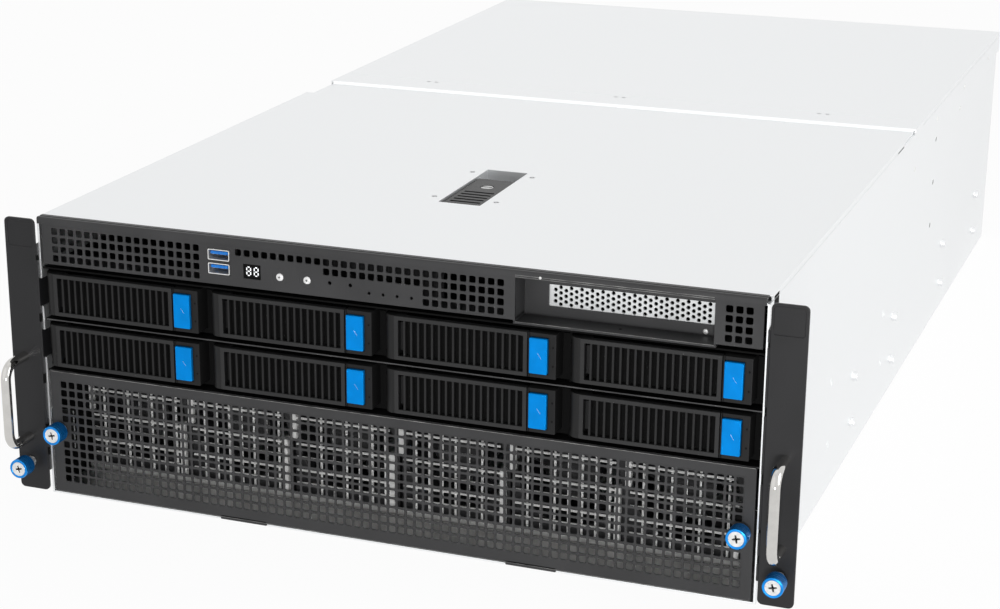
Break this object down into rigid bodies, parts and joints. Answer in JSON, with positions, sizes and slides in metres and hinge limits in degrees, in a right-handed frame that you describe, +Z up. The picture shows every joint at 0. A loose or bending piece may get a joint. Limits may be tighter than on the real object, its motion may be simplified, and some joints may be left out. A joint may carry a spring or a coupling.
{
  "type": "rack server",
  "caption": "Rack-mounted server case with sliding drive trays over a perforated fan panel, rack ears with handles, top covers that slide back and plug-in power supplies.",
  "frame": {"origin": "centre of the chassis floor's underside", "axes": "+X to the right seen from the front, +Y from the front panel to the back, +Z up"},
  "size_m": [0.4822, 0.8516, 0.1745],
  "materials": {
    "plated_sheet": "satin zinc plate",
    "black_sheet": "satin black paint",
    "black_plastic": "fine matt",
    "blue_plastic": "satin",
    "blue_metal": "blue anodised",
    "chrome": "polished",
    "white_plastic": "satin",
    "circuit_board": "solder mask"
  },
  "bodies": {
    "chassis": {"chassis_floor": "plated_sheet", "left_side_wall": "plated_sheet", "right_side_wall": "plated_sheet", "rear_panel": "plated_sheet", "rear_fittings": "plated_sheet", "top_bridge": "plated_sheet", "front_panel": "black_sheet", "slot_cover": "plated_sheet", "drive_cage": "plated_sheet", "drive_backplane": "circuit_board", "rack_ears": "black_sheet", "handles": "chrome", "front_io": "circuit_board", "fan_housings": "black_plastic", "motherboard": "circuit_board"},
    "tray_1": {"tray_1": "black_plastic"},
    "tray_lever_1": {"tray_lever_1": "black_plastic"},
    "tray_button_1": {"tray_button_1": "blue_plastic"},
    "tray_2": {"tray_2": "black_plastic"},
    "tray_lever_2": {"tray_lever_2": "black_plastic"},
    "tray_button_2": {"tray_button_2": "blue_plastic"},
    "tray_3": {"tray_3": "black_plastic"},
    "tray_lever_3": {"tray_lever_3": "black_plastic"},
    "tray_button_3": {"tray_button_3": "blue_plastic"},
    "tray_4": {"tray_4": "black_plastic"},
    "tray_lever_4": {"tray_lever_4": "black_plastic"},
    "tray_button_4": {"tray_button_4": "blue_plastic"},
    "tray_5": {"tray_5": "black_plastic"},
    "tray_lever_5": {"tray_lever_5": "black_plastic"},
    "tray_button_5": {"tray_button_5": "blue_plastic"},
    "tray_6": {"tray_6": "black_plastic"},
    "tray_lever_6": {"tray_lever_6": "black_plastic"},
    "tray_button_6": {"tray_button_6": "blue_plastic"},
    "tray_7": {"tray_7": "black_plastic"},
    "tray_lever_7": {"tray_lever_7": "black_plastic"},
    "tray_button_7": {"tray_button_7": "blue_plastic"},
    "tray_8": {"tray_8": "black_plastic"},
    "tray_lever_8": {"tray_lever_8": "black_plastic"},
    "tray_button_8": {"tray_button_8": "blue_plastic"},
    "front_cover": {"front_cover": "plated_sheet"},
    "cover_lever": {"cover_lever": "black_plastic"},
    "lever_lock": {"lever_lock": "white_plastic"},
    "rear_cover": {"rear_cover": "plated_sheet"},
    "fan_panel": {"fan_panel": "black_sheet"},
    "cover_screw_left": {"cover_screw_left": "blue_metal"},
    "panel_screw_left": {"panel_screw_left": "blue_metal"},
    "ear_screw_left": {"ear_screw_left": "blue_metal"},
    "cover_screw_right": {"cover_screw_right": "blue_metal"},
    "panel_screw_right": {"panel_screw_right": "blue_metal"},
    "ear_screw_right": {"ear_screw_right": "blue_metal"},
    "power_button": {"power_button": "white_plastic"},
    "id_button": {"id_button": "white_plastic"},
    "fan_rotor_1": {"fan_rotor_1": "black_plastic"},
    "fan_rotor_2": {"fan_rotor_2": "black_plastic"},
    "fan_rotor_3": {"fan_rotor_3": "black_plastic"},
    "fan_rotor_4": {"fan_rotor_4": "black_plastic"},
    "fan_rotor_5": {"fan_rotor_5": "black_plastic"},
    "fan_rotor_6": {"fan_rotor_6": "black_plastic"},
    "psu_1": {"psu_1": "plated_sheet"},
    "psu_2": {"psu_2": "plated_sheet"}
  },
  "joints": [
    {"name": "tray_slide_1", "type": "slide", "parent": "chassis", "child": "tray_1", "axis": [0, -1, 0], "range_m": [0, 0.17]},
    {"name": "tray_lever_swing_1", "type": "hinge", "parent": "tray_1", "child": "tray_lever_1", "pos_m": [-0.2103, -0.396, 0.12805], "axis": [0, 0, -1], "range_deg": [0, 55]},
    {"name": "tray_release_1", "type": "slide", "parent": "tray_1", "child": "tray_button_1", "axis": [0, 1, 0], "range_m": [0, 0.0015], "stiffness_N_per_m": 300, "springref_m": -0.002},
    {"name": "tray_slide_2", "type": "slide", "parent": "chassis", "child": "tray_2", "axis": [0, -1, 0], "range_m": [0, 0.17]},
    {"name": "tray_lever_swing_2", "type": "hinge", "parent": "tray_2", "child": "tray_lever_2", "pos_m": [-0.10128, -0.396, 0.12805], "axis": [0, 0, -1], "range_deg": [0, 55]},
    {"name": "tray_release_2", "type": "slide", "parent": "tray_2", "child": "tray_button_2", "axis": [0, 1, 0], "range_m": [0, 0.0015], "stiffness_N_per_m": 300, "springref_m": -0.002},
    {"name": "tray_slide_3", "type": "slide", "parent": "chassis", "child": "tray_3", "axis": [0, -1, 0], "range_m": [0, 0.17]},
    {"name": "tray_lever_swing_3", "type": "hinge", "parent": "tray_3", "child": "tray_lever_3", "pos_m": [0.00775, -0.396, 0.12805], "axis": [0, 0, -1], "range_deg": [0, 55]},
    {"name": "tray_release_3", "type": "slide", "parent": "tray_3", "child": "tray_button_3", "axis": [0, 1, 0], "range_m": [0, 0.0015], "stiffness_N_per_m": 300, "springref_m": -0.002},
    {"name": "tray_slide_4", "type": "slide", "parent": "chassis", "child": "tray_4", "axis": [0, -1, 0], "range_m": [0, 0.17]},
    {"name": "tray_lever_swing_4", "type": "hinge", "parent": "tray_4", "child": "tray_lever_4", "pos_m": [0.11678, -0.396, 0.12805], "axis": [0, 0, -1], "range_deg": [0, 55]},
    {"name": "tray_release_4", "type": "slide", "parent": "tray_4", "child": "tray_button_4", "axis": [0, 1, 0], "range_m": [0, 0.0015], "stiffness_N_per_m": 300, "springref_m": -0.002},
    {"name": "tray_slide_5", "type": "slide", "parent": "chassis", "child": "tray_5", "axis": [0, -1, 0], "range_m": [0, 0.17]},
    {"name": "tray_lever_swing_5", "type": "hinge", "parent": "tray_5", "child": "tray_lever_5", "pos_m": [-0.2103, -0.396, 0.09605], "axis": [0, 0, -1], "range_deg": [0, 55]},
    {"name": "tray_release_5", "type": "slide", "parent": "tray_5", "child": "tray_button_5", "axis": [0, 1, 0], "range_m": [0, 0.0015], "stiffness_N_per_m": 300, "springref_m": -0.002},
    {"name": "tray_slide_6", "type": "slide", "parent": "chassis", "child": "tray_6", "axis": [0, -1, 0], "range_m": [0, 0.17]},
    {"name": "tray_lever_swing_6", "type": "hinge", "parent": "tray_6", "child": "tray_lever_6", "pos_m": [-0.10128, -0.396, 0.09605], "axis": [0, 0, -1], "range_deg": [0, 55]},
    {"name": "tray_release_6", "type": "slide", "parent": "tray_6", "child": "tray_button_6", "axis": [0, 1, 0], "range_m": [0, 0.0015], "stiffness_N_per_m": 300, "springref_m": -0.002},
    {"name": "tray_slide_7", "type": "slide", "parent": "chassis", "child": "tray_7", "axis": [0, -1, 0], "range_m": [0, 0.17]},
    {"name": "tray_lever_swing_7", "type": "hinge", "parent": "tray_7", "child": "tray_lever_7", "pos_m": [0.00775, -0.396, 0.09605], "axis": [0, 0, -1], "range_deg": [0, 55]},
    {"name": "tray_release_7", "type": "slide", "parent": "tray_7", "child": "tray_button_7", "axis": [0, 1, 0], "range_m": [0, 0.0015], "stiffness_N_per_m": 300, "springref_m": -0.002},
    {"name": "tray_slide_8", "type": "slide", "parent": "chassis", "child": "tray_8", "axis": [0, -1, 0], "range_m": [0, 0.17]},
    {"name": "tray_lever_swing_8", "type": "hinge", "parent": "tray_8", "child": "tray_lever_8", "pos_m": [0.11678, -0.396, 0.09605], "axis": [0, 0, -1], "range_deg": [0, 55]},
    {"name": "tray_release_8", "type": "slide", "parent": "tray_8", "child": "tray_button_8", "axis": [0, 1, 0], "range_m": [0, 0.0015], "stiffness_N_per_m": 300, "springref_m": -0.002},
    {"name": "front_cover_slide", "type": "slide", "parent": "chassis", "child": "front_cover", "axis": [0, 1, 0], "range_m": [0, 0.04]},
    {"name": "cover_lever_lift", "type": "hinge", "parent": "front_cover", "child": "cover_lever", "pos_m": [0, -0.214, 0.1685], "axis": [-1, 0, 0], "range_deg": [0, 80]},
    {"name": "lever_lock_turn", "type": "hinge", "parent": "cover_lever", "child": "lever_lock", "pos_m": [0, -0.232, 0.1715], "axis": [0, 0, 1], "range_deg": [0, 90]},
    {"name": "rear_cover_slide", "type": "slide", "parent": "chassis", "child": "rear_cover", "axis": [0, 1, 0], "range_m": [0, 0.02]},
    {"name": "fan_panel_tilt", "type": "hinge", "parent": "chassis", "child": "fan_panel", "pos_m": [0, -0.3994, 0.0006], "axis": [1, 0, 0], "range_deg": [0, 45]},
    {"name": "cover_screw_left_turn", "type": "hinge", "parent": "rear_cover", "child": "cover_screw_left", "pos_m": [-0.124, 0.412, 0.1635], "axis": [0, 1, 0], "continuous": true},
    {"name": "panel_screw_left_turn", "type": "hinge", "parent": "fan_panel", "child": "panel_screw_left", "pos_m": [-0.2105, -0.4, 0.0424], "axis": [0, 1, 0], "continuous": true},
    {"name": "ear_screw_left_turn", "type": "hinge", "parent": "chassis", "child": "ear_screw_left", "pos_m": [-0.23255, -0.4, 0.0193], "axis": [0, 1, 0], "continuous": true},
    {"name": "cover_screw_right_turn", "type": "hinge", "parent": "rear_cover", "child": "cover_screw_right", "pos_m": [0.124, 0.412, 0.1635], "axis": [0, 1, 0], "continuous": true},
    {"name": "panel_screw_right_turn", "type": "hinge", "parent": "fan_panel", "child": "panel_screw_right", "pos_m": [0.2105, -0.4, 0.0424], "axis": [0, 1, 0], "continuous": true},
    {"name": "ear_screw_right_turn", "type": "hinge", "parent": "chassis", "child": "ear_screw_right", "pos_m": [0.23255, -0.4, 0.0193], "axis": [0, 1, 0], "continuous": true},
    {"name": "power_button_push", "type": "slide", "parent": "chassis", "child": "power_button", "axis": [0, 1, 0], "range_m": [0, 0.001], "stiffness_N_per_m": 400, "springref_m": -0.001},
    {"name": "id_button_push", "type": "slide", "parent": "chassis", "child": "id_button", "axis": [0, 1, 0], "range_m": [0, 0.001], "stiffness_N_per_m": 400, "springref_m": -0.001},
    {"name": "fan_spin_1", "type": "hinge", "parent": "chassis", "child": "fan_rotor_1", "pos_m": [-0.18358, -0.33, 0.03905], "axis": [0, 1, 0], "continuous": true},
    {"name": "fan_spin_2", "type": "hinge", "parent": "chassis", "child": "fan_rotor_2", "pos_m": [-0.11365, -0.33, 0.03905], "axis": [0, 1, 0], "continuous": true},
    {"name": "fan_spin_3", "type": "hinge", "parent": "chassis", "child": "fan_rotor_3", "pos_m": [-0.04372, -0.33, 0.03905], "axis": [0, 1, 0], "continuous": true},
    {"name": "fan_spin_4", "type": "hinge", "parent": "chassis", "child": "fan_rotor_4", "pos_m": [0.02622, -0.33, 0.03905], "axis": [0, 1, 0], "continuous": true},
    {"name": "fan_spin_5", "type": "hinge", "parent": "chassis", "child": "fan_rotor_5", "pos_m": [0.09615, -0.33, 0.03905], "axis": [0, 1, 0], "continuous": true},
    {"name": "fan_spin_6", "type": "hinge", "parent": "chassis", "child": "fan_rotor_6", "pos_m": [0.16608, -0.33, 0.03905], "axis": [0, 1, 0], "continuous": true},
    {"name": "psu_slide_1", "type": "slide", "parent": "chassis", "child": "psu_1", "axis": [0, 1, 0], "range_m": [0, 0.18]},
    {"name": "psu_slide_2", "type": "slide", "parent": "chassis", "child": "psu_2", "axis": [0, 1, 0], "range_m": [0, 0.18]}
  ]
}
